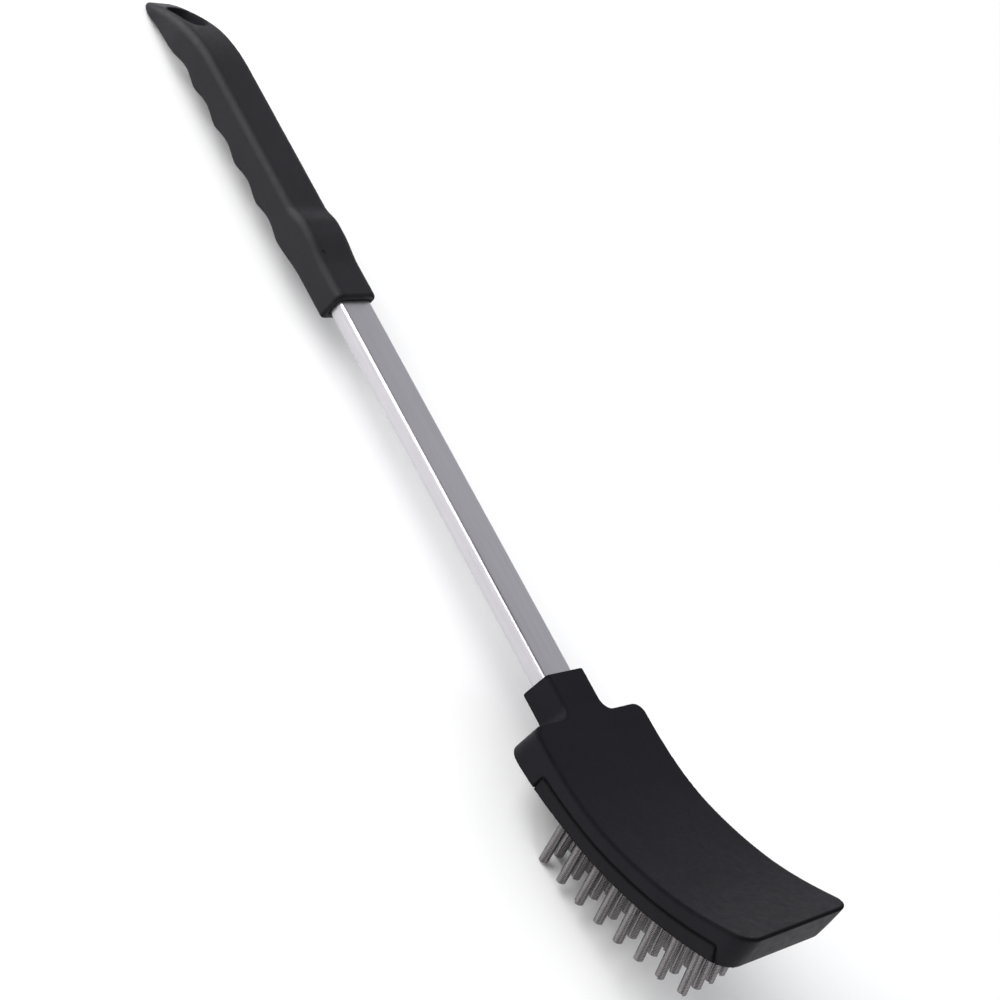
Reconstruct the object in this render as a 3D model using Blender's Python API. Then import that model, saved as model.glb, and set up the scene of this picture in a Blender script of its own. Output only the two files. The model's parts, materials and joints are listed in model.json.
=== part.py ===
"""Grill cleaning brush with a rectangular steel shaft and a clip-in pad of steel coil bristles.

Metres, +Z up. The parts are drawn in the brush frame: x runs along the shaft from the rim of the
head's collar (x = 0) towards the head, y across the head, z towards the smooth back. The empty
brush_frame then sets the brush down bristles first, on its rear coils and the tail of its grip.
"""
from math import acos, atan2, cos, pi, radians, sin, sqrt, tan

import bmesh
import bpy
from mathutils import Matrix, Vector

MM = 0.001
GAP = 0.3 * MM  # between solids that touch
PAST = 5.0 * MM  # how far a cutter reaches past what it cuts

# Steel shaft: a flat rectangular tube
SHAFT_WIDTH = 17.0 * MM
SHAFT_HEIGHT = 8.1 * MM
SHAFT_WALL = 1.0 * MM
SHAFT_EDGE = 1.6 * MM
SHAFT_EXPOSED = 174.2 * MM
SHAFT_IN_GRIP = 62.0 * MM
SHAFT_IN_HEAD = 20.0 * MM
SHAFT_DRAWN_IN = 0.05 * MM  # the ends that the mouldings hold are this much smaller all round

# Grip: a moulded bar with finger scallops below and a drooping tail with a hanging slot
GRIP_FRONT = -SHAFT_EXPOSED
GRIP_TAIL = -342.8 * MM
GRIP_HALF_WIDTH = 11.2 * MM
GRIP_TOP = 6.6 * MM
GRIP_BOTTOM = -9.9 * MM
GRIP_TOP_EDGE = 4.0 * MM
GRIP_BOTTOM_EDGE = 3.0 * MM
GRIP_FRONT_EDGE = 1.2 * MM
THUMB_RAMP = (-220.0 * MM, -210.0 * MM)
THUMB_RISE = 2.0 * MM
THUMB_FADE = (-205.0 * MM, -190.0 * MM)
THUMB_KEPT = 0.3  # share of the thumb rise that runs on to the front
FINGER_PITCH = 19.9 * MM
FINGER_DEPTH = 1.8 * MM
FINGER_FIRST = -213.8 * MM
FINGER_CURVE = 1.5
FINGERS = 4
NOSE = -195.0 * MM  # from here forwards the underside runs straight
TAIL_START = -292.0 * MM
TAIL_DROOP = 19.0 * MM
TAIL_CURVE = 2.2
TAIL_DIP = 5.2 * MM  # the tail's underside sinks by this much
TAIL_DIP_LENGTH = 46.0 * MM
TAIL_REST = -338.0 * MM  # the tail's lowest point, which the brush lies on
TAIL_LIFT = 0.5 * MM
TAIL_LIFT_LENGTH = 6.0 * MM
TAIL_NARROW = 1.9 * MM
TAIL_TAPER = (-314.0 * MM, -334.5 * MM)
TAIL_ROUND_START = -333.7 * MM
TAIL_ROUND = 12.3 * MM
TAIL_END_INSET = 0.9 * MM
SLOT_WIDTH = 11.6 * MM
SLOT_LENGTH = 19.8 * MM
SLOT_CENTRE = Vector((-325.2 * MM, 0, -6.3 * MM))
SLOT_TILT = radians(22)

# Head: a back that curves up towards the tip, and a collar that holds the shaft
BACK_RADIUS = 166.4 * MM
BACK_LOW = Vector((17.9 * MM, 0, 5.3 * MM))  # where the back's circle runs level
REAR_RISE = 2.1 * MM  # the collar and the head's rear lie level, this much above the circle
REAR_RISE_FADE = 50.0 * MM
FRONT_RISE = 1.2 * MM  # and the front edge turns up this much more than the circle
FRONT_RISE_FROM = 80.0 * MM
HEAD_HALF_WIDTH = 31.9 * MM
HEAD_REAR = 0.8 * MM  # along the curved back, from BACK_LOW
HEAD_FRONT = 118.8 * MM
REAR_CORNER = 5.2 * MM
FRONT_CORNER = 7.5 * MM
HEAD_DEPTH = 13.9 * MM
HEAD_EDGE = 1.0 * MM
LOWER_EDGE = 0.8 * MM
SIDE_DRAFT = 1.4 * MM  # the side walls lean in by this much over the depth
FRONT_DRAFT = 7.9 * MM  # and the front wall by this much
COLLAR_HALF_WIDTH = 10.6 * MM
COLLAR_FILLET = 5.0 * MM
RIM_CORNER = 0.8 * MM
COLLAR_DEEPER = 0.108  # share by which the collar is deeper than the head's middle
REAR_DEEPER = 0.21
REAR_STEP = (-5.0 * MM, 1.0 * MM)  # the underside steps down from collar to head over this
REAR_DEEPER_FADE = 45.0 * MM
FRONT_DEEPER = 0.1
BACK_PLATE = 2.6 * MM
SIDE_WALL = 3.0 * MM
PARTING = 7.0 * MM  # depth at which holder and pad meet on the side wall

# Pad: a clip-in base with coil bristles, between the holder's two end blocks
PAD_REAR = 17.0 * MM
PAD_FRONT = 105.5 * MM
TONGUE_WIDTH = 11.0 * MM
TONGUE_OUT = 4.0 * MM
TONGUE_THICK = 2.2 * MM
TONGUE_SIDE = 14.0 * MM
PAD_TRAVEL_TILT = radians(20)  # the pad leaves the head square to its chord

COIL_COLUMNS = 8
COIL_ROWS = 7
COIL_RADIUS = 1.9 * MM
COIL_BORE = 1.1 * MM
COIL_LENGTH = 24.4 * MM
COIL_SIDES = 10
SOCKET_ROOM = 0.4 * MM
ROW_PITCH = 8.5 * MM
TIP_DEPTH = 33.6 * MM  # from the curved back to the coil tips
TIP_FIRST = radians(11.9)
TIP_STEP = radians(3.02)
LEAN_FIRST = radians(18.5)
LEAN_STEP = radians(1.22)
PRESSED_BACK = radians(13)  # the last column is pressed back, row by row, where the brush leans on it
DIMPLE_RADIUS = 0.9 * MM
DIMPLE_DEPTH = 1.2 * MM

CORNER_STEPS = 4
BACK_STEP = 6.5 * MM  # length of one facet of the curved back


def smoothstep(low, high, value):
    t = min(max((value - low) / (high - low), 0.0), 1.0)
    return t * t * (3 - 2 * t)


# ---------------------------------------------------------------- scene and materials

def clear_scene():
    for old in list(bpy.data.objects):
        bpy.data.objects.remove(old, do_unlink=True)


def material(name, colour, roughness, metallic):
    made = bpy.data.materials.new(name)
    made.use_nodes = True
    shader = made.node_tree.nodes["Principled BSDF"]
    shader.inputs["Base Color"].default_value = (*colour, 1)
    shader.inputs["Roughness"].default_value = roughness
    shader.inputs["Metallic"].default_value = metallic
    made.diffuse_color = (*colour, 1)
    return made


def add_object(name, mesh, collection, finish=None):
    made = bpy.data.objects.new(name, mesh)
    if finish:
        mesh.materials.append(finish)
    collection.objects.link(made)
    return made


# ---------------------------------------------------------------- outlines and solids

def rounded_outline(corners, inset=0.0, steps=CORNER_STEPS):
    """Anticlockwise outline through (x, y, radius) corners, moved inwards by inset."""
    points = []
    for k, (x, y, radius) in enumerate(corners):
        here = Vector((x, y))
        along = (here - Vector(corners[k - 1][:2])).normalized()
        onward = (Vector(corners[(k + 1) % len(corners)][:2]) - here).normalized()
        left = Vector((-along.y, along.x))
        next_left = Vector((-onward.y, onward.x))
        side = 1 if along.x * onward.y - along.y * onward.x > 0 else -1
        here = here + (left + next_left) * inset / (1 + left.dot(next_left))
        bend = max(radius - side * inset, 0.1 * MM)
        turn = acos(max(-1.0, min(1.0, along.dot(onward))))
        start = here - along * bend * tan(turn / 2)
        centre = start + left * side * bend
        for i in range(steps + 1):
            spoke = start - centre
            spoke.rotate(Matrix.Rotation(side * turn * i / steps, 2))
            points.append(centre + spoke)
    return points


def rectangle(half_x, low_y, high_y, low_radius, high_radius):
    return [
        (-half_x, low_y, low_radius),
        (half_x, low_y, low_radius),
        (half_x, high_y, high_radius),
        (-half_x, high_y, high_radius),
    ]


def loft_mesh(name, rings):
    """Closed solid through rings of equal length, capped at both ends."""
    shape = bmesh.new()
    loops = [[shape.verts.new(point) for point in ring] for ring in rings]
    count = len(loops[0])
    for low, high in zip(loops, loops[1:]):
        for i in range(count):
            j = (i + 1) % count
            shape.faces.new((low[i], low[j], high[j], high[i]))
    shape.faces.new(list(reversed(loops[0])))
    shape.faces.new(loops[-1])
    bmesh.ops.recalc_face_normals(shape, faces=shape.faces)
    mesh = bpy.data.meshes.new(name)
    shape.to_mesh(mesh)
    shape.free()
    return mesh


def tube_mesh(name, outside, inner):
    """Hollow bar along (outline, place) rings of its outside, with the inner outline as its bore."""
    shape = bmesh.new()
    start = outside[0][1]
    end = outside[-1][1]
    across = Vector((0, 1, 0))
    up = across.cross((end - start).normalized()) * -1
    loops = []
    for outline, place in (*outside, (inner, end), (inner, start)):
        loops.append([shape.verts.new(place + across * p.x + up * p.y) for p in outline])
    count = len(inner)
    for k, low in enumerate(loops):
        high = loops[(k + 1) % len(loops)]
        for i in range(count):
            j = (i + 1) % count
            shape.faces.new((low[i], low[j], high[j], high[i]))
    bmesh.ops.recalc_face_normals(shape, faces=shape.faces)
    mesh = bpy.data.meshes.new(name)
    shape.to_mesh(mesh)
    shape.free()
    return mesh


def box_mesh(name, low, high):
    shape = bmesh.new()
    size = Vector(high) - Vector(low)
    middle = (Vector(high) + Vector(low)) / 2
    place = Matrix.Translation(middle) @ Matrix.Diagonal((*size, 1))
    bmesh.ops.create_cube(shape, size=1, matrix=place)
    mesh = bpy.data.meshes.new(name)
    shape.to_mesh(mesh)
    shape.free()
    return mesh


def circle(radius, sides):
    return [Vector((radius * cos(2 * pi * i / sides), radius * sin(2 * pi * i / sides))) for i in range(sides)]


def boolean(target, cutter, operation):
    step = target.modifiers.new(f"{operation.lower()}_{cutter.name}"[:60], "BOOLEAN")
    step.operation = operation
    step.solver = "EXACT"
    step.object = cutter


def cutter_object(name, mesh, cutters):
    made = add_object(name, mesh, cutters)
    made.hide_render = True
    made.display_type = "WIRE"
    return made


def settled_mesh(source):
    """The object's mesh with its modifiers worked out."""
    bpy.context.view_layer.update()
    return bpy.data.meshes.new_from_object(source.evaluated_get(bpy.context.evaluated_depsgraph_get()))


# ---------------------------------------------------------------- grip and shaft

def grip_half_width(x):
    narrowed = GRIP_HALF_WIDTH - TAIL_NARROW * smoothstep(*TAIL_TAPER, x)
    past = max(0.0, (TAIL_ROUND_START - x) / TAIL_ROUND)
    return narrowed * sqrt(1 - past * past)


def grip_top(x):
    thumb = smoothstep(*THUMB_RAMP, x) - (1 - THUMB_KEPT) * smoothstep(*THUMB_FADE, x)
    droop = max(0.0, (TAIL_START - x) / (TAIL_START - GRIP_TAIL))
    return GRIP_TOP + THUMB_RISE * thumb - TAIL_DROOP * droop**TAIL_CURVE


def grip_bottom(x):
    finger = (FINGER_FIRST - x) / FINGER_PITCH
    if finger < 0:
        scallop = smoothstep(FINGER_FIRST, NOSE, x)
    elif finger < FINGERS + 0.5:
        scallop = abs(sin(pi * finger)) ** FINGER_CURVE
    else:
        scallop = 1 - smoothstep(FINGERS + 0.5, FINGERS + 1.1, finger)
    dip = min(max(0.0, (TAIL_START - x) / TAIL_DIP_LENGTH), 1.0)
    lift = max(0.0, (TAIL_REST - x) / TAIL_LIFT_LENGTH)
    return GRIP_BOTTOM + FINGER_DEPTH * scallop - TAIL_DIP * dip**2 + TAIL_LIFT * lift**2


def grip_ring(x, inset=0.0):
    half = grip_half_width(x)
    top = grip_top(x)
    bottom = grip_bottom(x)
    room = 0.46 * min(2 * half, top - bottom)
    corners = rectangle(half, bottom, top, min(GRIP_BOTTOM_EDGE, room), min(GRIP_TOP_EDGE, room))
    return [Vector((x, p.x, p.y)) for p in rounded_outline(corners, inset)]


def spread(start, end, steps):
    """Evenly spaced places from start to end, start left out."""
    return [start + (end - start) * i / steps for i in range(1, steps + 1)]


def grip_stations():
    """Stations between the tail's end and the front, closer together over the round tail and the fingers."""
    places = [GRIP_TAIL + back * TAIL_ROUND for back in (0.07, 0.2, 0.42)]
    fingers_end = FINGER_FIRST - (FINGERS + 0.25) * FINGER_PITCH
    places += spread(places[-1], fingers_end, 8)
    places += spread(fingers_end, FINGER_FIRST, 8 * FINGERS + 2)
    places += spread(FINGER_FIRST, NOSE, 4)
    return places + [NOSE + TAIL_ROUND / 2]


def make_grip(collection, cutters, finish):
    rings = [grip_ring(GRIP_TAIL, TAIL_END_INSET)]
    rings += [grip_ring(x) for x in grip_stations()]
    for back, inset in ((1.0, 0.0), (0.3, 0.3), (0.0, 1.0)):
        rings.append(grip_ring(GRIP_FRONT - back * GRIP_FRONT_EDGE, inset * GRIP_FRONT_EDGE))
    grip = add_object("handle_grip", loft_mesh("handle_grip", rings), collection, finish)

    pocket_low = (GRIP_FRONT - SHAFT_IN_GRIP - GAP, -SHAFT_WIDTH / 2 - GAP, -SHAFT_HEIGHT / 2 - GAP)
    pocket_high = (GRIP_FRONT + PAST, SHAFT_WIDTH / 2 + GAP, SHAFT_HEIGHT / 2 + GAP)
    pocket = cutter_object("cut_grip_pocket", box_mesh("cut_grip_pocket", pocket_low, pocket_high), cutters)
    boolean(grip, pocket, "DIFFERENCE")

    end = SLOT_WIDTH / 2 - 0.1 * MM
    stadium = rounded_outline(rectangle(SLOT_LENGTH / 2, -SLOT_WIDTH / 2, SLOT_WIDTH / 2, end, end), steps=5)
    rings = [[Vector((p.x, p.y, z)) for p in stadium] for z in (-SLOT_LENGTH, SLOT_LENGTH)]
    slot = cutter_object("cut_hanging_slot", loft_mesh("cut_hanging_slot", rings), cutters)
    slot.location = SLOT_CENTRE
    slot.rotation_euler = (0, -SLOT_TILT, 0)
    boolean(grip, slot, "DIFFERENCE")
    return grip, (pocket, slot)


def make_shaft(collection, finish):
    corners = rectangle(SHAFT_WIDTH / 2, -SHAFT_HEIGHT / 2, SHAFT_HEIGHT / 2, SHAFT_EDGE, SHAFT_EDGE)
    bare = rounded_outline(corners)
    held = rounded_outline(corners, SHAFT_DRAWN_IN)
    rings = (
        (held, GRIP_FRONT - SHAFT_IN_GRIP),
        (held, GRIP_FRONT + 0.5 * MM),
        (bare, GRIP_FRONT + MM),
        (bare, -MM),
        (held, -0.5 * MM),
        (held, SHAFT_IN_HEAD),
    )
    outside = [(outline, Vector((x, 0, 0))) for outline, x in rings]
    mesh = tube_mesh("shaft_tube", outside, rounded_outline(corners, SHAFT_WALL))
    return add_object("shaft_tube", mesh, collection, finish)


# ---------------------------------------------------------------- head, drawn flat and then curved

def on_curved_back(u, y, depth):
    """Brush-frame point at u along the back and depth below it."""
    slope = max(u, 0.0) / BACK_RADIUS
    rear = 1 - smoothstep(0.0, REAR_RISE_FADE, u)
    front = smoothstep(FRONT_RISE_FROM, HEAD_FRONT, u)
    rise = REAR_RISE * rear + FRONT_RISE * front
    step = (REAR_DEEPER - COLLAR_DEEPER) * smoothstep(*REAR_STEP, u)
    fade = REAR_DEEPER * smoothstep(REAR_STEP[1], REAR_DEEPER_FADE, u)
    deep = depth * (1 + COLLAR_DEEPER + step - fade + FRONT_DEEPER * front)
    return Vector((
        BACK_LOW.x + min(u, 0.0) + BACK_RADIUS * sin(slope) + deep * sin(slope),
        y,
        BACK_LOW.z + BACK_RADIUS * (1 - cos(slope)) + rise - deep * cos(slope),
    ))


def curve_mesh(flat, name):
    """Facets a flat-drawn mesh (x along the back, -z the depth) and lays it on the curved back."""
    shape = bmesh.new()
    shape.from_mesh(flat)
    low = min(v.co.x for v in shape.verts)
    high = max(v.co.x for v in shape.verts)
    steps = round((high - low) / BACK_STEP)
    for i in range(1, steps):
        everything = list(shape.verts) + list(shape.edges) + list(shape.faces)
        place = Vector((low + (high - low) * i / steps, 0, 0))
        bmesh.ops.bisect_plane(shape, geom=everything, dist=1e-6, plane_co=place, plane_no=(1, 0, 0))
    bmesh.ops.triangulate(shape, faces=shape.faces)
    for vert in shape.verts:
        vert.co = on_curved_back(vert.co.x, vert.co.y, -vert.co.z)
    bmesh.ops.recalc_face_normals(shape, faces=shape.faces)
    mesh = bpy.data.meshes.new(name)
    shape.to_mesh(mesh)
    shape.free()
    return mesh


def head_outline(depth, inset):
    side = HEAD_HALF_WIDTH - SIDE_DRAFT * depth / HEAD_DEPTH
    front = HEAD_FRONT - FRONT_DRAFT * depth / HEAD_DEPTH
    half = [
        (-BACK_LOW.x, -COLLAR_HALF_WIDTH, RIM_CORNER),
        (HEAD_REAR, -COLLAR_HALF_WIDTH, COLLAR_FILLET),
        (HEAD_REAR, -side, REAR_CORNER),
        (front, -side, FRONT_CORNER),
    ]
    mirrored = [(x, -y, radius) for x, y, radius in reversed(half)]
    return rounded_outline(half + mirrored, inset)


def head_blank(name):
    """Whole head drawn flat, holder and pad in one, with its edges rounded."""
    layers = (
        (0.0, HEAD_EDGE),
        (0.3 * HEAD_EDGE, 0.3 * HEAD_EDGE),
        (HEAD_EDGE, 0.0),
        (HEAD_DEPTH - LOWER_EDGE, 0.0),
        (HEAD_DEPTH, LOWER_EDGE),
    )
    rings = [[Vector((p.x, p.y, -depth)) for p in head_outline(depth, inset)] for depth, inset in layers]
    return loft_mesh(name, rings)


def flat_box(name, u_range, y_range, depth_range, cutters):
    low = (u_range[0], y_range[0], -depth_range[1])
    high = (u_range[1], y_range[1], -depth_range[0])
    return cutter_object(name, box_mesh(name, low, high), cutters)


def tongues():
    """(end of the pad, direction, width, length) for the clips on the pad's short ends."""
    return (
        ("rear", PAD_REAR, -1, TONGUE_WIDTH, TONGUE_OUT),
        ("front", PAD_FRONT, 1, 0.75 * TONGUE_WIDTH, 0.75 * TONGUE_OUT),
    )


def make_holder(collection, cutters, finish):
    flat = cutter_object("flat_holder", head_blank("flat_holder"), cutters)
    wide = HEAD_HALF_WIDTH + PAST
    inner = HEAD_HALF_WIDTH - SIDE_WALL
    ends = (PAD_REAR, PAD_FRONT)
    below = HEAD_DEPTH + PAST
    boolean(flat, flat_box("cut_pad_bay", ends, (-wide, wide), (PARTING, below), cutters), "DIFFERENCE")
    boolean(flat, flat_box("cut_pad_well", ends, (-inner, inner), (BACK_PLATE, PARTING + MM), cutters), "DIFFERENCE")
    for end, place, way, width, out in tongues():
        for side in (-1, 1):
            middle = side * TONGUE_SIDE
            u = sorted((place - way * MM, place + way * (out + GAP)))
            y = (middle - width / 2 - GAP, middle + width / 2 + GAP)
            name = f"cut_{end}_notch_{'left' if side > 0 else 'right'}"
            boolean(flat, flat_box(name, u, y, (BACK_PLATE, below), cutters), "DIFFERENCE")
    mesh = curve_mesh(settled_mesh(flat), "head_holder")
    mesh.materials.clear()
    holder = add_object("head_holder", mesh, collection, finish)

    low = (-PAST, -SHAFT_WIDTH / 2 - GAP, -SHAFT_HEIGHT / 2 - GAP)
    high = (SHAFT_IN_HEAD + GAP, SHAFT_WIDTH / 2 + GAP, SHAFT_HEIGHT / 2 + GAP)
    socket = cutter_object("cut_head_socket", box_mesh("cut_head_socket", low, high), cutters)
    boolean(holder, socket, "DIFFERENCE")
    return holder, (socket,)


# ---------------------------------------------------------------- pad and coils

def coil_axis(column):
    """Tip and direction of a column's coils in the brush frame, at y = 0."""
    slope = TIP_FIRST + column * TIP_STEP
    reach = BACK_RADIUS + TIP_DEPTH
    tip = Vector((BACK_LOW.x + reach * sin(slope), 0, BACK_LOW.z + BACK_RADIUS - reach * cos(slope)))
    lean = LEAN_FIRST + column * LEAN_STEP
    return tip, Vector((sin(lean), 0, -cos(lean)))


def coil_places():
    for column in range(COIL_COLUMNS):
        tip, way = coil_axis(column)
        foot = tip - way * COIL_LENGTH
        for row in range(COIL_ROWS):
            across = Vector((0, (row - (COIL_ROWS - 1) / 2) * ROW_PITCH, 0))
            pressed = PRESSED_BACK * smoothstep(1, COIL_ROWS - 1, row) if column == COIL_COLUMNS - 1 else 0.0
            leaning = Matrix.Rotation(pressed, 3, "Y") @ way
            yield column, row, foot + leaning * COIL_LENGTH + across, leaning


def sockets_mesh(name):
    """All the coil sockets and the pad's one moulding dimple, as one mesh of separate bars."""
    shape = bmesh.new()
    bars = []
    for _, _, tip, way in coil_places():
        bars.append((tip - way * (COIL_LENGTH + GAP), tip, way, COIL_RADIUS + SOCKET_ROOM, 12))
    tip, way = coil_axis(COIL_COLUMNS - 1.5)
    dimple = tip + Vector((0, -2.5 * ROW_PITCH, 0)) - way * (TIP_DEPTH - HEAD_DEPTH + DIMPLE_DEPTH)
    bars.append((dimple, dimple + way * PAST, way, DIMPLE_RADIUS, 8))
    for start, end, way, radius, sides in bars:
        turn = Vector((0, 0, 1)).rotation_difference(way).to_matrix().to_4x4()
        place = Matrix.Translation((start + end) / 2) @ turn
        bmesh.ops.create_cone(
            shape, cap_ends=True, segments=sides, radius1=radius, radius2=radius,
            depth=(end - start).length, matrix=place,
        )
    mesh = bpy.data.meshes.new(name)
    shape.to_mesh(mesh)
    shape.free()
    return mesh


def make_pad(collection, cutters, finish):
    flat = cutter_object("flat_pad", head_blank("flat_pad"), cutters)
    wide = HEAD_HALF_WIDTH + PAST
    inner = HEAD_HALF_WIDTH - SIDE_WALL - GAP
    ends = (PAD_REAR + GAP, PAD_FRONT - GAP)
    below = HEAD_DEPTH + PAST
    boolean(flat, flat_box("keep_pad_band", ends, (-wide, wide), (PARTING + GAP, below), cutters), "INTERSECT")
    plug = flat_box("join_pad_plug", ends, (-inner, inner), (BACK_PLATE + GAP, PARTING + 2 * MM), cutters)
    boolean(flat, plug, "UNION")
    top = BACK_PLATE + 2 * GAP
    for end, place, way, width, out in tongues():
        for side in (-1, 1):
            middle = side * TONGUE_SIDE
            u = sorted((place - way * 2 * MM, place + way * out))
            y = (middle - width / 2, middle + width / 2)
            name = f"join_{end}_tongue_{'left' if side > 0 else 'right'}"
            boolean(flat, flat_box(name, u, y, (top, top + TONGUE_THICK), cutters), "UNION")
    mesh = curve_mesh(settled_mesh(flat), "pad_base")
    mesh.materials.clear()
    pad = add_object("pad_base", mesh, collection, finish)
    sockets = cutter_object("cut_coil_sockets", sockets_mesh("cut_coil_sockets"), cutters)
    boolean(pad, sockets, "DIFFERENCE")
    return pad, (sockets,)


def make_coils(collection, finish):
    coils = []
    outer = circle(COIL_RADIUS, COIL_SIDES)
    inner = circle(COIL_BORE, COIL_SIDES)
    for column, row, tip, way in coil_places():
        name = f"coil_c{column + 1}_r{row + 1}"
        mesh = tube_mesh(name, ((outer, tip - way * COIL_LENGTH), (outer, tip)), inner)
        coils.append(add_object(name, mesh, collection, finish))
    return coils


# ---------------------------------------------------------------- setting the brush down

def hang_from(parent, objects):
    """Parents objects drawn in the brush frame without moving them."""
    for each in objects:
        local = each.matrix_basis.copy()
        each.parent = parent
        each.matrix_parent_inverse = parent.matrix_basis.inverted()
        each.matrix_basis = local


def empty(name, collection, location=(0, 0, 0), rotation=(0, 0, 0)):
    made = bpy.data.objects.new(name, None)
    made.location = location
    made.rotation_euler = rotation
    made.empty_display_size = 20 * MM
    collection.objects.link(made)
    return made


def set_down(frame, solids):
    """Turns and lifts the brush until its rear coils and its tail stand on z = 0, centred over the origin."""
    tip, way = coil_axis(0)
    tip_low = tip + Vector((way.z, 0, -way.x)) * COIL_RADIUS
    tail_low = Vector((TAIL_REST, 0, grip_bottom(TAIL_REST)))
    frame.rotation_euler.y = -atan2(tail_low.z - tip_low.z, tip_low.x - tail_low.x)
    frame.location = (0, 0, 0)
    bpy.context.view_layer.update()
    graph = bpy.context.evaluated_depsgraph_get()
    corners = []
    for each in solids:
        worked = each.evaluated_get(graph)
        corners += [worked.matrix_world @ vert.co for vert in worked.data.vertices]
    middle = (min(p.x for p in corners) + max(p.x for p in corners)) / 2
    frame.location = (-middle, 0, -min(p.z for p in corners))
    bpy.context.view_layer.update()


def main():
    clear_scene()
    collection = bpy.data.collections.new("grill_cleaning_brush")
    cutters = bpy.data.collections.new("cutters")
    for each in (collection, cutters):
        bpy.context.scene.collection.children.link(each)

    grip_finish = material("grip_plastic", (0.035, 0.035, 0.038), 0.55, 0.0)
    head_finish = material("head_plastic", (0.024, 0.023, 0.026), 0.6, 0.0)
    pad_finish = material("pad_plastic", (0.02, 0.02, 0.022), 0.62, 0.0)
    shaft_finish = material("brushed_steel", (0.62, 0.6, 0.59), 0.34, 1.0)
    coil_finish = material("coil_steel", (0.5, 0.47, 0.45), 0.32, 1.0)

    grip, grip_cuts = make_grip(collection, cutters, grip_finish)
    shaft = make_shaft(collection, shaft_finish)
    holder, holder_cuts = make_holder(collection, cutters, head_finish)
    pad, pad_cuts = make_pad(collection, cutters, pad_finish)
    coils = make_coils(collection, coil_finish)

    frame = empty("brush_frame", collection)
    on_back = on_curved_back((PAD_REAR + PAD_FRONT) / 2, 0, 0)
    slide = empty("pad_release_axis", collection, on_back, (0, -PAD_TRAVEL_TILT, 0))
    hang_from(slide, [grip, shaft, holder, *grip_cuts, *holder_cuts])
    slide.parent = frame
    hang_from(frame, [pad, *pad_cuts, *coils])
    set_down(frame, [grip, shaft, holder, pad, *coils])


main()
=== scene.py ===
"""Looks of the grill cleaning brush: moulded grip and head, brushed tube and close-wound coil bristles.

Metres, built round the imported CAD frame. Pieces are drawn in the brush frame: x runs along the shaft
from the rim of the head's collar (x = 0) towards the head, y across the head, z towards the smooth
back. Each piece's object then carries the turn and place that set the brush down in the row frame.
"""
import json
from math import acos, atan2, cos, pi, radians, sin, sqrt, tan
from random import Random

import bmesh
import bpy
from mathutils import Matrix, Vector


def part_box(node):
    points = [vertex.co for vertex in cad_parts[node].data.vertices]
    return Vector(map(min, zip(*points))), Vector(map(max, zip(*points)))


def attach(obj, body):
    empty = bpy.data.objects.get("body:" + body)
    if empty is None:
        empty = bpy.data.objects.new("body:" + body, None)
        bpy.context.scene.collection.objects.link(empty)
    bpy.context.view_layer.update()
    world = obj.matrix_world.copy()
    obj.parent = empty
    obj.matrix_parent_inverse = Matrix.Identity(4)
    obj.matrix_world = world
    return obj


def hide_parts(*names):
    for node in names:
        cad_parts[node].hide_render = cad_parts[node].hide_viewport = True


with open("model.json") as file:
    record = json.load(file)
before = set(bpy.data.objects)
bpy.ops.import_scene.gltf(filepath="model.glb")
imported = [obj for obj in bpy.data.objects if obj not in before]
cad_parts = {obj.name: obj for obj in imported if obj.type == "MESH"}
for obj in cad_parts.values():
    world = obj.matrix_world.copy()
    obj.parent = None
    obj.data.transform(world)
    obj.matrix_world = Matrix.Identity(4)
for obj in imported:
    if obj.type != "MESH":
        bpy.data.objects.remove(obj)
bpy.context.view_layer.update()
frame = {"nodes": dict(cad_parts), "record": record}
record = frame["record"]

MM = 0.001

# Shaft
SHAFT_WIDTH = 17.0 * MM
SHAFT_HEIGHT = 8.1 * MM
SHAFT_WALL = 1.0 * MM
SHAFT_EDGE = 1.6 * MM
SHAFT_EXPOSED = 174.2 * MM
SHAFT_IN_GRIP = 62.0 * MM
SHAFT_IN_HEAD = 20.0 * MM
SHAFT_ROOM = 0.3 * MM
CUT_END_LENGTH = 0.15 * MM  # the sawn ends are eased over this length
CUT_END_DEPTH = 0.12 * MM

# Grip
GRIP_FRONT = -SHAFT_EXPOSED
GRIP_TAIL = -342.8 * MM
GRIP_HALF_WIDTH = 11.2 * MM
GRIP_TOP = 6.6 * MM
GRIP_BOTTOM = -9.9 * MM
GRIP_TOP_EDGE = 4.0 * MM
GRIP_BOTTOM_EDGE = 3.0 * MM
GRIP_FRONT_EDGE = 1.2 * MM
THUMB_RAMP = (-220.0 * MM, -210.0 * MM)
THUMB_RISE = 2.0 * MM
THUMB_FADE = (-205.0 * MM, -190.0 * MM)
THUMB_KEPT = 0.3  # share of the thumb rise that runs on to the front
FINGER_PITCH = 19.9 * MM
FINGER_DEPTH = 1.8 * MM
FINGER_FIRST = -213.8 * MM
FINGER_CURVE = 1.5
FINGERS = 4
NOSE = -195.0 * MM  # from here forwards the underside runs straight
TAIL_START = -292.0 * MM
TAIL_DROOP = 19.0 * MM
TAIL_CURVE = 2.2
TAIL_DIP = 5.2 * MM  # the tail's underside sinks by this much
TAIL_DIP_LENGTH = 46.0 * MM
TAIL_REST = -338.0 * MM  # the tail's lowest point, which the brush lies on
TAIL_LIFT = 0.5 * MM
TAIL_LIFT_LENGTH = 6.0 * MM
TAIL_NARROW = 1.9 * MM
TAIL_TAPER = (-314.0 * MM, -334.5 * MM)
TAIL_ROUND_START = -333.7 * MM
TAIL_ROUND = 12.3 * MM
TAIL_END_INSET = 0.9 * MM
GRIP_STEP = 1.2 * MM  # length of one ring of the grip
SLOT_WIDTH = 11.6 * MM
SLOT_LENGTH = 19.8 * MM
SLOT_CENTRE = Vector((-325.2 * MM, 0, -6.3 * MM))
SLOT_TILT = radians(22)
SLOT_CUT = 20.0 * MM

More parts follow.
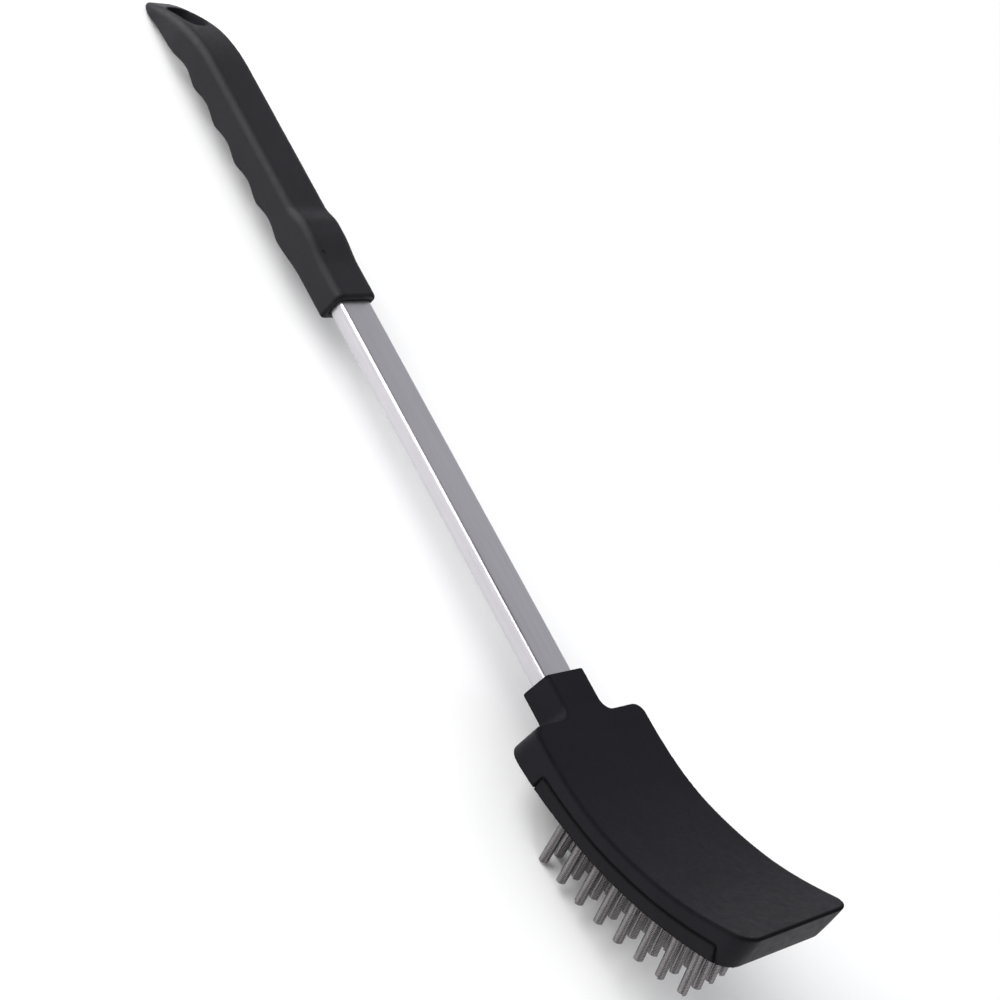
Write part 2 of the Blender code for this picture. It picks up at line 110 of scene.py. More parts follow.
# Head
BACK_RADIUS = 166.4 * MM
BACK_LOW = Vector((17.9 * MM, 0, 5.3 * MM))  # where the back's circle runs level
REAR_RISE = 2.1 * MM  # the collar and the head's rear lie level, this much above the circle
REAR_RISE_FADE = 50.0 * MM
FRONT_RISE = 1.2 * MM  # and the front edge turns up this much more than the circle
FRONT_RISE_FROM = 80.0 * MM
HEAD_HALF_WIDTH = 31.9 * MM
HEAD_REAR = 0.8 * MM
HEAD_FRONT = 118.8 * MM
REAR_CORNER = 5.2 * MM
FRONT_CORNER = 7.5 * MM
HEAD_DEPTH = 13.9 * MM
HEAD_EDGE = 1.0 * MM
LOWER_EDGE = 0.8 * MM
RIM_CORNER = 0.8 * MM
SIDE_DRAFT = 1.4 * MM
FRONT_DRAFT = 7.9 * MM
COLLAR_HALF_WIDTH = 10.6 * MM
COLLAR_FILLET = 5.0 * MM
COLLAR_DEEPER = 0.108  # share by which the collar is deeper than the head's middle
REAR_DEEPER = 0.21
REAR_STEP = (-5.0 * MM, 1.0 * MM)  # the underside steps down from collar to head over this
REAR_DEEPER_FADE = 45.0 * MM
FRONT_DEEPER = 0.1
BACK_PLATE = 2.6 * MM
SIDE_WALL = 3.0 * MM
PARTING = 7.0 * MM
PAD_REAR = 17.0 * MM
PAD_FRONT = 105.5 * MM
TONGUE_WIDTH = 11.0 * MM
TONGUE_OUT = 4.0 * MM
TONGUE_THICK = 2.2 * MM
TONGUE_SIDE = 14.0 * MM
SEAM = 0.05 * MM  # gap that shows between holder and pad

# Coils
COIL_RADIUS = 1.9 * MM
WIRE = 0.66 * MM
WIRE_EDGE = 0.07 * MM  # the wire is rolled nearly square
COIL_PITCH = 0.67 * MM
COIL_PER_TURN = 20
COIL_START_TURN = 2.1  # the three coil meshes start this far apart, in radians
SOCKET_RADIUS = 2.15 * MM
SOCKET_REACH = 15  # SOCKET_REACH = 15 # in mm: a vector is multiplied by this, then by MM

# Fineness of the moulded surfaces
VOXEL = 0.55 * MM
SOFTEN = 3
BACK_STEP = 2.0 * MM
LEAST_RADIUS = 0.05 * MM
PAST = 5.0 * MM  # cutters reach this far past what they cut
LAP = 1.0 * MM  # pieces and cutters that join overlap by this

# Finishes: colour, then roughness, grain size and gloss of the plastics
GRIP_BLACK = ((0.011, 0.0104, 0.0134), 0.5, 0.3 * MM, 0.19)
HEAD_BLACK = ((0.0066, 0.006, 0.0088), 0.5, 0.34 * MM, 0.1)
PAD_BLACK = ((0.0058, 0.0054, 0.0076), 0.55, 0.4 * MM, 0.11)
TUBE_STEEL = (0.6, 0.584, 0.613)
WIRE_STEEL = (0.175, 0.165, 0.168)
PAPER_DARK = (0.93, 0.93, 0.93, 1)
PAPER_LIGHT = (0.96, 0.96, 0.96, 1)

# Light, in the row frame: place, size and power of each panel, and the room's strength
LEFT_PANEL = ((-2.6, -1.6, 1.5), (4.8, 3.2), 285.0)
RIGHT_PANEL = ((3.0, -0.2, 1.6), (3.6, 2.8), 60.0)
ROOM_COLOUR = (0.95, 0.96, 1.0, 1)
ROOM_NEAR = 0.14
ROOM_FAR = 0.6
FLOOR_SIZE = 6.0
FLOOR_DROP = 0.05 * MM

# Camera, placed in the brush frame
CAMERA_PLACE = Vector((213.2, -687.9, 554.0)) * MM
CAMERA_RIGHT = Vector((0.45881, 0.65482, 0.60059))
CAMERA_BACK = Vector((0.30795, -0.75123, 0.5838))
CAMERA_LENS = 86.4

chance = Random(11)


def brush_to_row():
    """The brush frame's turn and place in the row frame, from the shaft's box and its flat top's axis."""
    axis = next(mount["axis"] for mount in record["mounts"] if mount["name"] == "shaft_top")
    turn = Matrix.Rotation(atan2(axis[0], axis[2]), 4, "Y")
    low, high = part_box("shaft_tube")
    middle = (Vector(low) + Vector(high)) / 2
    drawn = Vector(((SHAFT_IN_HEAD - SHAFT_EXPOSED - SHAFT_IN_GRIP) / 2, 0, 0))
    return Matrix.Translation(middle) @ turn @ Matrix.Translation(-drawn)


BRUSH = brush_to_row()


def smoothstep(low, high, value):
    t = min(max((value - low) / (high - low), 0.0), 1.0)
    return t * t * (3 - 2 * t)


# ---------------------------------------------------------------- node helper and materials

def node(tree, kind, settings=None, **inputs):
    """A shader node; inputs are values or other sockets, named with _ for a space, or i and a number."""
    made = tree.nodes.new("ShaderNode" + kind)
    for name, value in (settings or {}).items():
        setattr(made, name, value)
    for name, value in inputs.items():
        numbered = name[0] == "i" and name[1:].isdigit()
        socket = made.inputs[int(name[1:]) if numbered else name.replace("_", " ")]
        if isinstance(value, bpy.types.NodeSocket):
            tree.links.new(value, socket)
        else:
            socket.default_value = value
    return made


def new_material(name):
    made = bpy.data.materials.new(name)
    made.use_nodes = True
    tree = made.node_tree
    return made, tree, tree.nodes["Principled BSDF"]


def stretched(tree, scale):
    """Object coordinates, scaled by a different amount along each axis."""
    place = node(tree, "TexCoord")
    return node(tree, "Mapping", Vector=place.outputs["Object"], Scale=scale).outputs["Vector"]


def noise(tree, vector, scale, detail=3.0, roughness=0.55):
    made = node(tree, "TexNoise", Vector=vector, Scale=scale, Detail=detail, Roughness=roughness)
    return made.outputs["Fac"]


def mapped(tree, value, low, high, to_low, to_high):
    return node(
        tree, "MapRange", i0=value, i1=low, i2=high, i3=to_low, i4=to_high,
    ).outputs["Result"]


def maths(tree, operation, first, second):
    return node(tree, "Math", {"operation": operation}, i0=first, i1=second).outputs["Value"]


def mixed(tree, amount, first, second):
    made = node(tree, "Mix", {"data_type": "RGBA"})
    for index, value in ((0, amount), (6, first), (7, second)):
        if isinstance(value, bpy.types.NodeSocket):
            tree.links.new(value, made.inputs[index])
        else:
            made.inputs[index].default_value = value
    return made.outputs[2]


def grey(colour, factor):
    return tuple(part * factor for part in colour) + (1.0,)


def moulded_plastic(name, colour, roughness, grain, gloss):
    """Black moulded plastic: spark-eroded grain, faint clouding, painted shade darkening the edges and a few
    fine scuffs.
    """
    made, tree, shader = new_material(name)
    place = stretched(tree, (1.0, 1.0, 1.0))
    clouds = noise(tree, place, 55.0, 4.0, 0.6)
    patches = noise(tree, place, 320.0, 3.0, 0.6)
    pits = noise(tree, place, 1 / grain, 2.0, 0.6)
    cells = node(
        tree, "TexVoronoi", {"feature": "SMOOTH_F1"}, Vector=place, Scale=0.55 / grain, Smoothness=0.4,
    ).outputs["Distance"]
    scuffs = noise(tree, stretched(tree, (60.0, 1400.0, 900.0)), 1.0, 4.0, 0.7)
    scuffed = mapped(tree, scuffs, 0.66, 0.78, 0.0, 1.0)
    # edge mask from pointiness: it paints shade into the colour along the folds and roughens them
    edges = mapped(tree, node(tree, "NewGeometry").outputs["Pointiness"], 0.505, 0.54, 0.0, 1.0)
    base = mixed(tree, mapped(tree, clouds, 0.3, 0.7, 0.0, 1.0), grey(colour, 0.82), grey(colour, 1.16))
    base = mixed(tree, mapped(tree, patches, 0.35, 0.75, 0.0, 0.5), base, grey(colour, 1.3))
    base = mixed(tree, mapped(tree, pits, 0.35, 0.7, 0.0, 0.45), base, grey(colour, 0.62))
    base = mixed(tree, maths(tree, "MULTIPLY", scuffed, 0.22), base, grey(colour, 2.1))
    # painted shade: the convex edges are darkened to stand in for the dark reflection along the folds
    base = mixed(tree, maths(tree, "MULTIPLY", edges, 0.85), base, grey(colour, 0.25))
    tree.links.new(base, shader.inputs["Base Color"])
    rough = mapped(tree, patches, 0.3, 0.7, roughness - 0.05, roughness + 0.06)
    rough = maths(tree, "ADD", rough, maths(tree, "MULTIPLY", edges, 0.4))
    tree.links.new(rough, shader.inputs["Roughness"])
    relief = maths(tree, "ADD", pits, maths(tree, "MULTIPLY", cells, 0.8))
    bump = node(tree, "Bump", Height=relief, Strength=0.5, Distance=0.09 * MM)
    fine = bump.outputs["Normal"]
    softer = node(tree, "Bump", Height=clouds, Strength=0.12, Distance=0.5 * MM, Normal=fine)
    tree.links.new(softer.outputs["Normal"], shader.inputs["Normal"])
    shader.inputs["Specular IOR Level"].default_value = gloss
    return made


def brushed_steel(name, colour):
    """Stainless tube, brushed lengthwise: streaks of three widths in colour, roughness and relief."""
    made, tree, shader = new_material(name)
    fine = noise(tree, stretched(tree, (28.0, 5200.0, 5200.0)), 1.0, 3.0, 0.6)
    middle = noise(tree, stretched(tree, (12.0, 1500.0, 1500.0)), 1.0, 3.0, 0.6)
    broad = noise(tree, stretched(tree, (5.0, 330.0, 330.0)), 1.0, 2.0, 0.5)
    clouds = noise(tree, stretched(tree, (26.0, 60.0, 60.0)), 1.0, 3.0, 0.6)
    streaks = maths(tree, "ADD", maths(tree, "MULTIPLY", fine, 0.5), maths(tree, "MULTIPLY", middle, 0.5))
    base = mixed(tree, mapped(tree, streaks, 0.3, 0.7, 0.0, 1.0), grey(colour, 0.86), grey(colour, 1.1))
    base = mixed(tree, mapped(tree, broad, 0.3, 0.7, 0.0, 0.4), base, grey(colour, 0.88))
    base = mixed(tree, mapped(tree, clouds, 0.35, 0.75, 0.0, 0.3), base, grey(colour, 1.08))
    tree.links.new(base, shader.inputs["Base Color"])
    rough = mapped(tree, streaks, 0.25, 0.75, 0.24, 0.4)
    rough = maths(tree, "ADD", rough, mapped(tree, clouds, 0.3, 0.7, -0.03, 0.04))
    tree.links.new(rough, shader.inputs["Roughness"])
    bump = node(tree, "Bump", Height=streaks, Strength=0.35, Distance=0.03 * MM)
    tree.links.new(bump.outputs["Normal"], shader.inputs["Normal"])
    shader.inputs["Metallic"].default_value = 1.0
    return made


def drawn_wire(name, colour):
    """Stainless spring wire: drawn streaks round the coil, uneven tarnish and a little grime."""
    made, tree, shader = new_material(name)
    drawn = noise(tree, stretched(tree, (900.0, 900.0, 6500.0)), 1.0, 3.0, 0.6)
    tarnish = noise(tree, stretched(tree, (420.0, 420.0, 260.0)), 1.0, 4.0, 0.6)
    grime = noise(tree, stretched(tree, (1500.0, 1500.0, 1500.0)), 1.0, 3.0, 0.6)
    base = mixed(tree, mapped(tree, drawn, 0.3, 0.7, 0.0, 1.0), grey(colour, 0.8), grey(colour, 1.15))
    base = mixed(tree, mapped(tree, tarnish, 0.45, 0.75, 0.0, 0.15), base, grey(colour, 1.5))
    base = mixed(tree, mapped(tree, grime, 0.62, 0.75, 0.0, 0.12), base, grey(colour, 0.5))
    tree.links.new(base, shader.inputs["Base Color"])
    rough = mapped(tree, drawn, 0.3, 0.7, 0.1, 0.18)
    rough = maths(tree, "ADD", rough, mapped(tree, grime, 0.5, 0.75, 0.0, 0.06))
    tree.links.new(rough, shader.inputs["Roughness"])
    bump = node(tree, "Bump", Height=drawn, Strength=0.12, Distance=0.01 * MM)
    tree.links.new(bump.outputs["Normal"], shader.inputs["Normal"])
    shader.inputs["Metallic"].default_value = 1.0
    return made


# ---------------------------------------------------------------- outlines and solids

def rounded_outline(corners, inset=0.0, steps=8):
    """Anticlockwise outline through (x, y, radius) corners, moved inwards by inset."""
    points = []
    for k, (x, y, radius) in enumerate(corners):
        here = Vector((x, y))
        along = (here - Vector(corners[k - 1][:2])).normalized()
        onward = (Vector(corners[(k + 1) % len(corners)][:2]) - here).normalized()
        left = Vector((-along.y, along.x))
        next_left = Vector((-onward.y, onward.x))
        side = 1 if along.x * onward.y - along.y * onward.x > 0 else -1
        here = here + (left + next_left) * inset / (1 + left.dot(next_left))
        bend = max(radius - side * inset, LEAST_RADIUS)
        turn = acos(max(-1.0, min(1.0, along.dot(onward))))
        start = here - along * bend * tan(turn / 2)
        centre = start + left * side * bend
        for i in range(steps + 1):
            spoke = start - centre
            spoke.rotate(Matrix.Rotation(side * turn * i / steps, 2))
            points.append(centre + spoke)
    return points


def rectangle(half_x, low_y, high_y, low_radius, high_radius):
    return [
        (-half_x, low_y, low_radius),
        (half_x, low_y, low_radius),
        (half_x, high_y, high_radius),
        (-half_x, high_y, high_radius),
    ]


def mesh_from(shape, name):
    bmesh.ops.recalc_face_normals(shape, faces=shape.faces)
    mesh = bpy.data.meshes.new(name)
    shape.to_mesh(mesh)
    shape.free()
    return mesh


def loft_mesh(name, rings, closed=False):
    """Solid through rings of equal length, capped at both ends, or joined last to first if closed."""
    shape = bmesh.new()
    loops = [[shape.verts.new(point) for point in ring] for ring in rings]
    count = len(loops[0])
    pairs = list(zip(loops, loops[1:] + loops[:1])) if closed else list(zip(loops, loops[1:]))
    for low, high in pairs:
        for i in range(count):
            j = (i + 1) % count
            shape.faces.new((low[i], low[j], high[j], high[i]))
    if not closed:
        shape.faces.new(list(reversed(loops[0])))
        shape.faces.new(loops[-1])
    return mesh_from(shape, name)


def box_mesh(name, low, high):
    shape = bmesh.new()
    size = Vector(high) - Vector(low)
    place = Matrix.Translation((Vector(high) + Vector(low)) / 2) @ Matrix.Diagonal((*size, 1))
    bmesh.ops.create_cube(shape, size=1, matrix=place)
    return mesh_from(shape, name)


def scratch(name, mesh):
    """A cutter or a part being worked on; it is removed once its result has been taken."""
    made = bpy.data.objects.new(name, mesh)
    bpy.context.scene.collection.objects.link(made)
    return made


def shaft_pocket(name, start, end):
    """Cutter for the pocket that the tube's end sits in, with room all round."""
    low = (start, -SHAFT_WIDTH / 2 - SHAFT_ROOM, -SHAFT_HEIGHT / 2 - SHAFT_ROOM)
    high = (end, SHAFT_WIDTH / 2 + SHAFT_ROOM, SHAFT_HEIGHT / 2 + SHAFT_ROOM)
    return scratch(name, box_mesh(name, low, high))


def boolean(target, cutter, operation):
    step = target.modifiers.new(f"{operation.lower()}_{cutter.name}"[:60], "BOOLEAN")
    step.operation = operation
    step.solver = "EXACT"
    step.object = cutter


def settled(objects, target, name):
    """The target's mesh with its modifiers worked out; all the scratch objects are removed."""
    bpy.context.view_layer.update()
    mesh = bpy.data.meshes.new_from_object(target.evaluated_get(bpy.context.evaluated_depsgraph_get()))
    mesh.name = name
    for each in objects:
        bpy.data.objects.remove(each, do_unlink=True)
    return mesh


def soften(mesh, name):
    """The mould's small radius on every edge: an even fine mesh over the solid, relaxed a few times."""
    work = scratch(name, mesh)
    even = work.modifiers.new("even", "REMESH")
    even.mode = "VOXEL"
    even.voxel_size = VOXEL
    relax = work.modifiers.new("relax", "SMOOTH")
    relax.factor = 0.5
    relax.iterations = SOFTEN
    return settled([work], work, name)


def show(name, mesh, material, body, replaced=(), place=BRUSH):
    """Puts a finished piece in the row frame, shades it smooth, ties it to its body and hides the CAD nodes
    it replaces.
    """
    made = bpy.data.objects.new(name, mesh)
    mesh.materials.clear()
    mesh.materials.append(material)
    mesh.shade_smooth()
    bpy.context.scene.collection.objects.link(made)
    made.matrix_world = place
    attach(made, body)
    if replaced:
        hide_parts(*replaced)
    return made


# ---------------------------------------------------------------- grip and shaft

def grip_half_width(x):
    narrowed = GRIP_HALF_WIDTH - TAIL_NARROW * smoothstep(*TAIL_TAPER, x)
    past = max(0.0, (TAIL_ROUND_START - x) / TAIL_ROUND)
    return narrowed * sqrt(1 - past * past)


def grip_top(x):
    thumb = smoothstep(*THUMB_RAMP, x) - (1 - THUMB_KEPT) * smoothstep(*THUMB_FADE, x)
    droop = max(0.0, (TAIL_START - x) / (TAIL_START - GRIP_TAIL))
    return GRIP_TOP + THUMB_RISE * thumb - TAIL_DROOP * droop**TAIL_CURVE


def grip_bottom(x):
    finger = (FINGER_FIRST - x) / FINGER_PITCH
    if finger < 0:
        scallop = smoothstep(FINGER_FIRST, NOSE, x)
    elif finger < FINGERS + 0.5:
        scallop = abs(sin(pi * finger)) ** FINGER_CURVE
    else:
        scallop = 1 - smoothstep(FINGERS + 0.5, FINGERS + 1.1, finger)
    dip = min(max(0.0, (TAIL_START - x) / TAIL_DIP_LENGTH), 1.0)
    lift = max(0.0, (TAIL_REST - x) / TAIL_LIFT_LENGTH)
    return GRIP_BOTTOM + FINGER_DEPTH * scallop - TAIL_DIP * dip**2 + TAIL_LIFT * lift**2


def grip_ring(x, inset=0.0):
    half = grip_half_width(x)
    top = grip_top(x)
    bottom = grip_bottom(x)
    room = 0.46 * min(2 * half, top - bottom)
    corners = rectangle(half, bottom, top, min(GRIP_BOTTOM_EDGE, room), min(GRIP_TOP_EDGE, room))
    return [Vector((x, p.x, p.y)) for p in rounded_outline(corners, inset)]


def make_grip(material):
    """Lofted bar with its socket and hanging slot, softened like a moulding."""
    rings = [grip_ring(GRIP_TAIL, TAIL_END_INSET)]
    rings += [grip_ring(GRIP_TAIL + TAIL_END_INSET * (1 - cos(pi * i / 8))) for i in range(1, 4)]
    first = GRIP_TAIL + GRIP_STEP
    last = GRIP_FRONT - GRIP_FRONT_EDGE
    steps = round((last - first) / GRIP_STEP)
    rings += [grip_ring(first + (last - first) * i / steps) for i in range(1, steps)]
    for i in range(6):
        turn = i / 5 * pi / 2
        inset = GRIP_FRONT_EDGE * (1 - cos(turn))
        rings.append(grip_ring(GRIP_FRONT - GRIP_FRONT_EDGE * (1 - sin(turn)), inset))
    grip = scratch("work_grip", loft_mesh("work_grip", rings))

    pocket = shaft_pocket("cut_pocket", GRIP_FRONT - SHAFT_IN_GRIP - SHAFT_ROOM, GRIP_FRONT + PAST)
    boolean(grip, pocket, "DIFFERENCE")

    end = SLOT_WIDTH / 2 - LEAST_RADIUS
    stadium = rounded_outline(rectangle(SLOT_LENGTH / 2, -SLOT_WIDTH / 2, SLOT_WIDTH / 2, end, end), steps=12)
    levels = [[Vector((p.x, p.y, z)) for p in stadium] for z in (-SLOT_CUT, SLOT_CUT)]
    slot = scratch("cut_slot", loft_mesh("cut_slot", levels))
    slot.location = SLOT_CENTRE
    slot.rotation_euler = (0, -SLOT_TILT, 0)
    boolean(grip, slot, "DIFFERENCE")
    mesh = soften(settled([grip, pocket, slot], grip, "work_grip"), "grip_moulding")
    return show("grip_moulding", mesh, material, "brush", ["handle_grip"])


def make_shaft(material):
    """Rolled tube with round edges, open at both ends."""
    start = GRIP_FRONT - SHAFT_IN_GRIP
    corners = rectangle(SHAFT_WIDTH / 2, -SHAFT_HEIGHT / 2, SHAFT_HEIGHT / 2, SHAFT_EDGE, SHAFT_EDGE)
    outer = rounded_outline(corners, 0.0, 10)
    inner = rounded_outline(corners, SHAFT_WALL, 10)
    eased = rounded_outline(corners, CUT_END_DEPTH, 10)
    rings = []
    for outline, x in (
        (eased, start),
        (outer, start + CUT_END_LENGTH),
        (outer, GRIP_FRONT),
        (outer, 0.0),
        (outer, SHAFT_IN_HEAD - CUT_END_LENGTH),
        (eased, SHAFT_IN_HEAD),
        (inner, SHAFT_IN_HEAD),
        (inner, start),
    ):
        rings.append([Vector((x, p.x, p.y)) for p in outline])
    mesh = loft_mesh("shaft_tube_brushed", rings, closed=True)
    made = show("shaft_tube_brushed", mesh, material, "brush", ["shaft_tube"])
    mesh.set_sharp_from_angle(angle=radians(40))
    return made


# ---------------------------------------------------------------- head and pad

def on_curved_back(u, y, depth):
    """Brush-frame point at u along the back and depth below it."""
    slope = max(u, 0.0) / BACK_RADIUS
    rear = 1 - smoothstep(0.0, REAR_RISE_FADE, u)
    front = smoothstep(FRONT_RISE_FROM, HEAD_FRONT, u)
    rise = REAR_RISE * rear + FRONT_RISE * front
    step = (REAR_DEEPER - COLLAR_DEEPER) * smoothstep(*REAR_STEP, u)
    fade = REAR_DEEPER * smoothstep(REAR_STEP[1], REAR_DEEPER_FADE, u)
    deep = depth * (1 + COLLAR_DEEPER + step - fade + FRONT_DEEPER * front)
    return Vector((
        BACK_LOW.x + min(u, 0.0) + BACK_RADIUS * sin(slope) + deep * sin(slope),
        y,
        BACK_LOW.z + BACK_RADIUS * (1 - cos(slope)) + rise - deep * cos(slope),
    ))


def curve_mesh(flat, name):
    """Divides a flat-drawn mesh (x along the back, -z the depth) finely and lays it on the curved back."""
    shape = bmesh.new()
    shape.from_mesh(flat)
    low = min(v.co.x for v in shape.verts)
    high = max(v.co.x for v in shape.verts)
    steps = round((high - low) / BACK_STEP)
    for i in range(1, steps):
        everything = list(shape.verts) + list(shape.edges) + list(shape.faces)
        place = Vector((low + (high - low) * i / steps, 0, 0))
        bmesh.ops.bisect_plane(shape, geom=everything, dist=1e-6, plane_co=place, plane_no=(1, 0, 0))
    bmesh.ops.triangulate(shape, faces=shape.faces)
    for vert in shape.verts:
        vert.co = on_curved_back(vert.co.x, vert.co.y, -vert.co.z)
    return mesh_from(shape, name)


def head_outline(depth, inset):
    side = HEAD_HALF_WIDTH - SIDE_DRAFT * depth / HEAD_DEPTH
    front = HEAD_FRONT - FRONT_DRAFT * depth / HEAD_DEPTH
    half = [
        (-BACK_LOW.x, -COLLAR_HALF_WIDTH, RIM_CORNER),
        (HEAD_REAR, -COLLAR_HALF_WIDTH, COLLAR_FILLET),
        (HEAD_REAR, -side, REAR_CORNER),
        (front, -side, FRONT_CORNER),
    ]
    mirrored = [(x, -y, radius) for x, y, radius in reversed(half)]
    return rounded_outline(half + mirrored, inset)


def head_blank(name):
    """Whole head drawn flat, with a quarter round on its top edge and a small one below."""
    layers = []
    for i in range(6):
        turn = i / 5 * pi / 2
        layers.append((HEAD_EDGE * (1 - sin(turn)), HEAD_EDGE * (1 - cos(turn))))
    layers.reverse()
    for i in range(5):
        turn = i / 4 * pi / 2
        layers.append((HEAD_DEPTH - LOWER_EDGE * (1 - sin(turn)), LOWER_EDGE * (1 - cos(turn))))
    rings = [[Vector((p.x, p.y, -depth)) for p in head_outline(depth, inset)] for depth, inset in layers]
    return loft_mesh(name, rings)


def flat_box(name, u_range, y_range, depth_range):
    low = (u_range[0], y_range[0], -depth_range[1])
    high = (u_range[1], y_range[1], -depth_range[0])
    return scratch(name, box_mesh(name, low, high))


def tongues():
    """(end of the pad, direction, width, length) for the clips on the pad's short ends."""
    return (
        ("rear", PAD_REAR, -1, TONGUE_WIDTH, TONGUE_OUT),
        ("front", PAD_FRONT, 1, 0.75 * TONGUE_WIDTH, 0.75 * TONGUE_OUT),
    )


def make_holder(material):
    flat = scratch("work_holder", head_blank("work_holder"))
    wide = HEAD_HALF_WIDTH + PAST
    inner = HEAD_HALF_WIDTH - SIDE_WALL
    ends = (PAD_REAR, PAD_FRONT)
    below = HEAD_DEPTH + PAST
    cutters = [
        flat_box("cut_bay", ends, (-wide, wide), (PARTING, below)),
        flat_box("cut_well", ends, (-inner, inner), (BACK_PLATE, PARTING + LAP)),
    ]
    for end, place, way, width, out in tongues():
        for side in (-1, 1):
            middle = side * TONGUE_SIDE
            u = sorted((place - way * LAP, place + way * (out + SHAFT_ROOM)))
            y = (middle - width / 2 - SHAFT_ROOM, middle + width / 2 + SHAFT_ROOM)
            cutters.append(flat_box(f"cut_notch_{end}_{side}", u, y, (BACK_PLATE, below)))
    for cutter in cutters:
        boolean(flat, cutter, "DIFFERENCE")
    holder = scratch("work_curved", curve_mesh(settled([flat, *cutters], flat, "work_holder"), "work_curved"))
    socket = shaft_pocket("cut_socket", -PAST, SHAFT_IN_HEAD + SHAFT_ROOM)
    boolean(holder, socket, "DIFFERENCE")
    mesh = soften(settled([holder, socket], holder, "work_curved"), "head_moulding")
    return show("head_moulding", mesh, material, "brush", ["head_holder"])


def coil_nodes():
    """(name, foot, tip) of each CAD coil in the brush frame, from the middles of its two ends."""
    back = BRUSH.inverted()
    for name, cad in sorted(frame["nodes"].items()):
        if name.startswith("coil_"):
            points = sorted((vert.co for vert in cad.data.vertices), key=lambda p: p.z)
            half = len(points) // 2
            tip = sum(points[:half], Vector()) / half
            foot = sum(points[half:], Vector()) / (len(points) - half)
            yield name, back @ foot, back @ tip


def make_pad(material, coils):
    flat = scratch("work_pad", head_blank("work_pad"))
    wide = HEAD_HALF_WIDTH + PAST
    inner = HEAD_HALF_WIDTH - SIDE_WALL - SHAFT_ROOM
    ends = (PAD_REAR + SEAM, PAD_FRONT - SEAM)
    below = HEAD_DEPTH + PAST
    band = flat_box("keep_band", ends, (-wide, wide), (PARTING + SEAM, below))
    boolean(flat, band, "INTERSECT")
    joined = [flat_box("join_plug", ends, (-inner, inner), (BACK_PLATE + SEAM, PARTING + 2 * LAP))]
    top = BACK_PLATE + 2 * SHAFT_ROOM
    for end, place, way, width, out in tongues():
        for side in (-1, 1):
            middle = side * TONGUE_SIDE
            u = sorted((place - way * 2 * LAP, place + way * out))
            y = (middle - width / 2, middle + width / 2)
            joined.append(flat_box(f"join_tongue_{end}_{side}", u, y, (top, top + TONGUE_THICK)))
    for each in joined:
        boolean(flat, each, "UNION")
    pad = scratch("work_bent", curve_mesh(settled([flat, band, *joined], flat, "work_pad"), "work_bent"))
    shape = bmesh.new()
    for _, foot, tip in coils:
        way = (tip - foot).normalized()
        start = foot - way * SHAFT_ROOM
        end = foot + way * SOCKET_REACH * MM
        turn = Vector((0, 0, 1)).rotation_difference(way).to_matrix().to_4x4()
        bmesh.ops.create_cone(
            shape, cap_ends=True, segments=24, radius1=SOCKET_RADIUS, radius2=SOCKET_RADIUS,
            depth=(end - start).length, matrix=Matrix.Translation((start + end) / 2) @ turn,
        )
    sockets = scratch("cut_sockets", mesh_from(shape, "cut_sockets"))
    boolean(pad, sockets, "DIFFERENCE")
    mesh = soften(settled([pad, sockets], pad, "work_bent"), "pad_moulding")
    return show("pad_moulding", mesh, material, "refill_pad", ["pad_base"])


# ---------------------------------------------------------------- coils

def wire_coil(name, length, start_turn):
    """Close-wound coil of nearly square wire along +z from its foot at 0, with cut ends."""
    section = rounded_outline(rectangle(WIRE / 2, -WIRE / 2, WIRE / 2, WIRE_EDGE, WIRE_EDGE), steps=1)
    rise = length - WIRE
    turns = rise / COIL_PITCH
    count = round(turns * COIL_PER_TURN)
    reach = COIL_RADIUS - WIRE / 2
    rings = []
    for i in range(count + 1):
        angle = start_turn + 2 * pi * turns * i / count
        height = WIRE / 2 + rise * i / count
        rings.append([
            Vector(((reach + out) * cos(angle), (reach + out) * sin(angle), height + up))
            for out, up in section
        ])
    return loft_mesh(name, rings)


def make_coils(material, coils):
    """One wire coil for each CAD coil, each turned about its axis by its own amount."""
    length = (coils[0][2] - coils[0][1]).length
    meshes = [wire_coil(f"wire_coil_{k}", length, COIL_START_TURN * k) for k in range(3)]
    for k, (name, foot, tip) in enumerate(coils):
        way = (tip - foot).normalized()
        turn = Vector((0, 0, 1)).rotation_difference(way).to_matrix().to_4x4()
        spin = Matrix.Rotation(chance.uniform(0, 2 * pi), 4, "Z")
        place = BRUSH @ Matrix.Translation(foot) @ turn @ spin
        show("wire_" + name, meshes[k % 3], material, "refill_pad", [name], place)


# ---------------------------------------------------------------- floor, light and camera

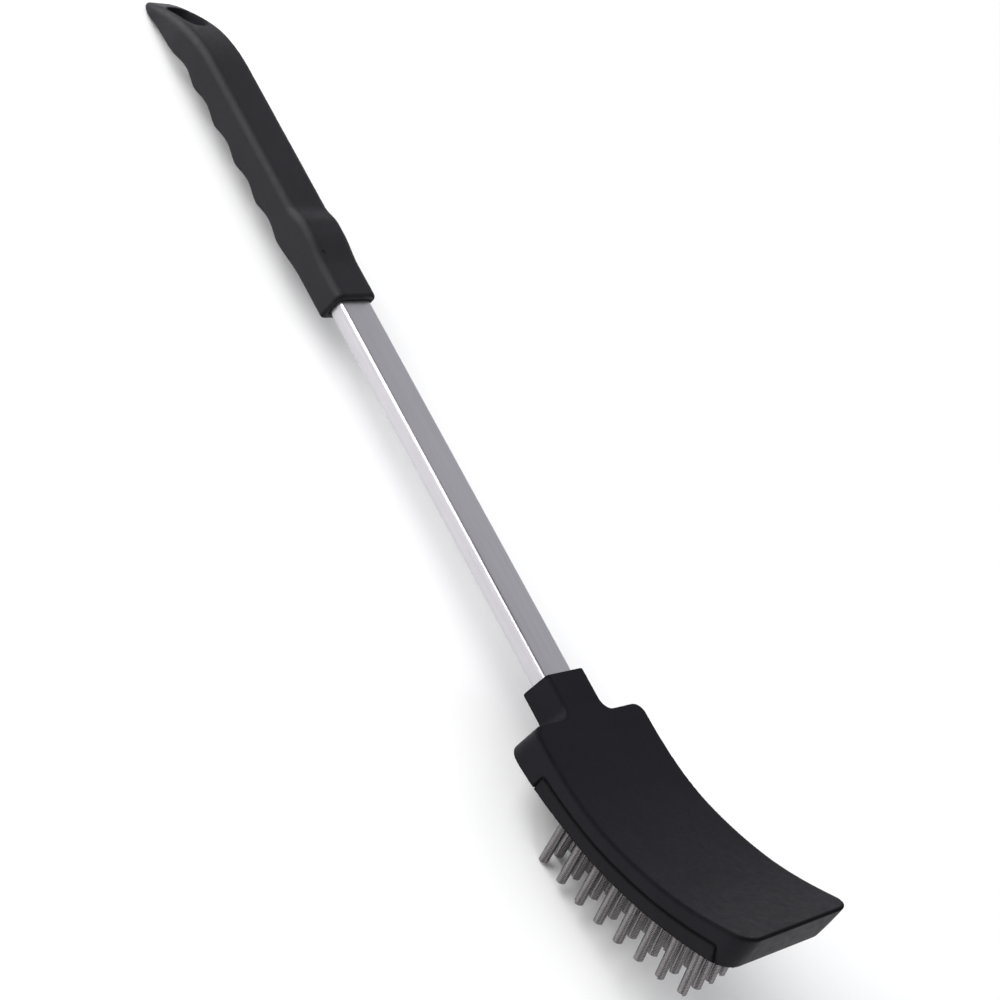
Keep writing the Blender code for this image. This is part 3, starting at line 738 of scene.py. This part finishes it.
def make_floor():
    made, tree, shader = new_material("paper")
    speckle = noise(tree, stretched(tree, (1.0, 1.0, 1.0)), 900.0, 3.0, 0.6)
    base = mixed(tree, speckle, PAPER_DARK, PAPER_LIGHT)
    tree.links.new(base, shader.inputs["Base Color"])
    shader.inputs["Roughness"].default_value = 0.9
    shader.inputs["Specular IOR Level"].default_value = 0.2
    shape = bmesh.new()
    bmesh.ops.create_grid(shape, x_segments=1, y_segments=1, size=FLOOR_SIZE)
    floor = bpy.data.objects.new("floor", mesh_from(shape, "floor"))
    floor.data.materials.append(made)
    bpy.context.scene.collection.objects.link(floor)
    floor.location.z = -FLOOR_DROP


def softbox(name, place, size, power):
    """A rectangular panel of light, turned towards the middle of the object."""
    light = bpy.data.lights.new(name, "AREA")
    light.shape = "RECTANGLE"
    light.size, light.size_y = size
    light.energy = power
    made = bpy.data.objects.new(name, light)
    made.location = place
    made.rotation_euler = (-Vector(place)).to_track_quat("-Z", "Y").to_euler()
    bpy.context.scene.collection.objects.link(made)


def make_light():
    world = bpy.data.worlds.new("studio")
    world.use_nodes = True
    tree = world.node_tree
    room = tree.nodes["Background"]
    room.inputs["Color"].default_value = ROOM_COLOUR
    way = node(tree, "SeparateXYZ", Vector=node(tree, "TexCoord").outputs["Generated"])
    strength = mapped(tree, way.outputs["Y"], 0.0, 0.75, ROOM_NEAR, ROOM_FAR)
    tree.links.new(strength, room.inputs["Strength"])
    bpy.context.scene.world = world
    softbox("left_panel", *LEFT_PANEL)
    softbox("right_panel", *RIGHT_PANEL)


def make_camera():
    lens = bpy.data.cameras.new("camera")
    lens.lens = CAMERA_LENS
    lens.sensor_width = 36
    lens.clip_start = 0.01
    camera = bpy.data.objects.new("camera", lens)
    up = CAMERA_BACK.cross(CAMERA_RIGHT)
    turn = Matrix((CAMERA_RIGHT, up, CAMERA_BACK)).transposed().to_4x4()
    camera.matrix_world = BRUSH @ Matrix.Translation(CAMERA_PLACE) @ turn
    bpy.context.scene.collection.objects.link(camera)
    bpy.context.scene.camera = camera


def main():
    bpy.context.scene.view_settings.view_transform = "Standard"
    grip_finish = moulded_plastic("grip_black", *GRIP_BLACK)
    head_finish = moulded_plastic("head_black", *HEAD_BLACK)
    pad_finish = moulded_plastic("pad_black", *PAD_BLACK)
    coils = list(coil_nodes())
    make_grip(grip_finish)
    make_shaft(brushed_steel("steel_tube", TUBE_STEEL))
    make_holder(head_finish)
    make_pad(pad_finish, coils)
    make_coils(drawn_wire("steel_wire", WIRE_STEEL), coils)
    make_floor()
    make_light()
    make_camera()


main()
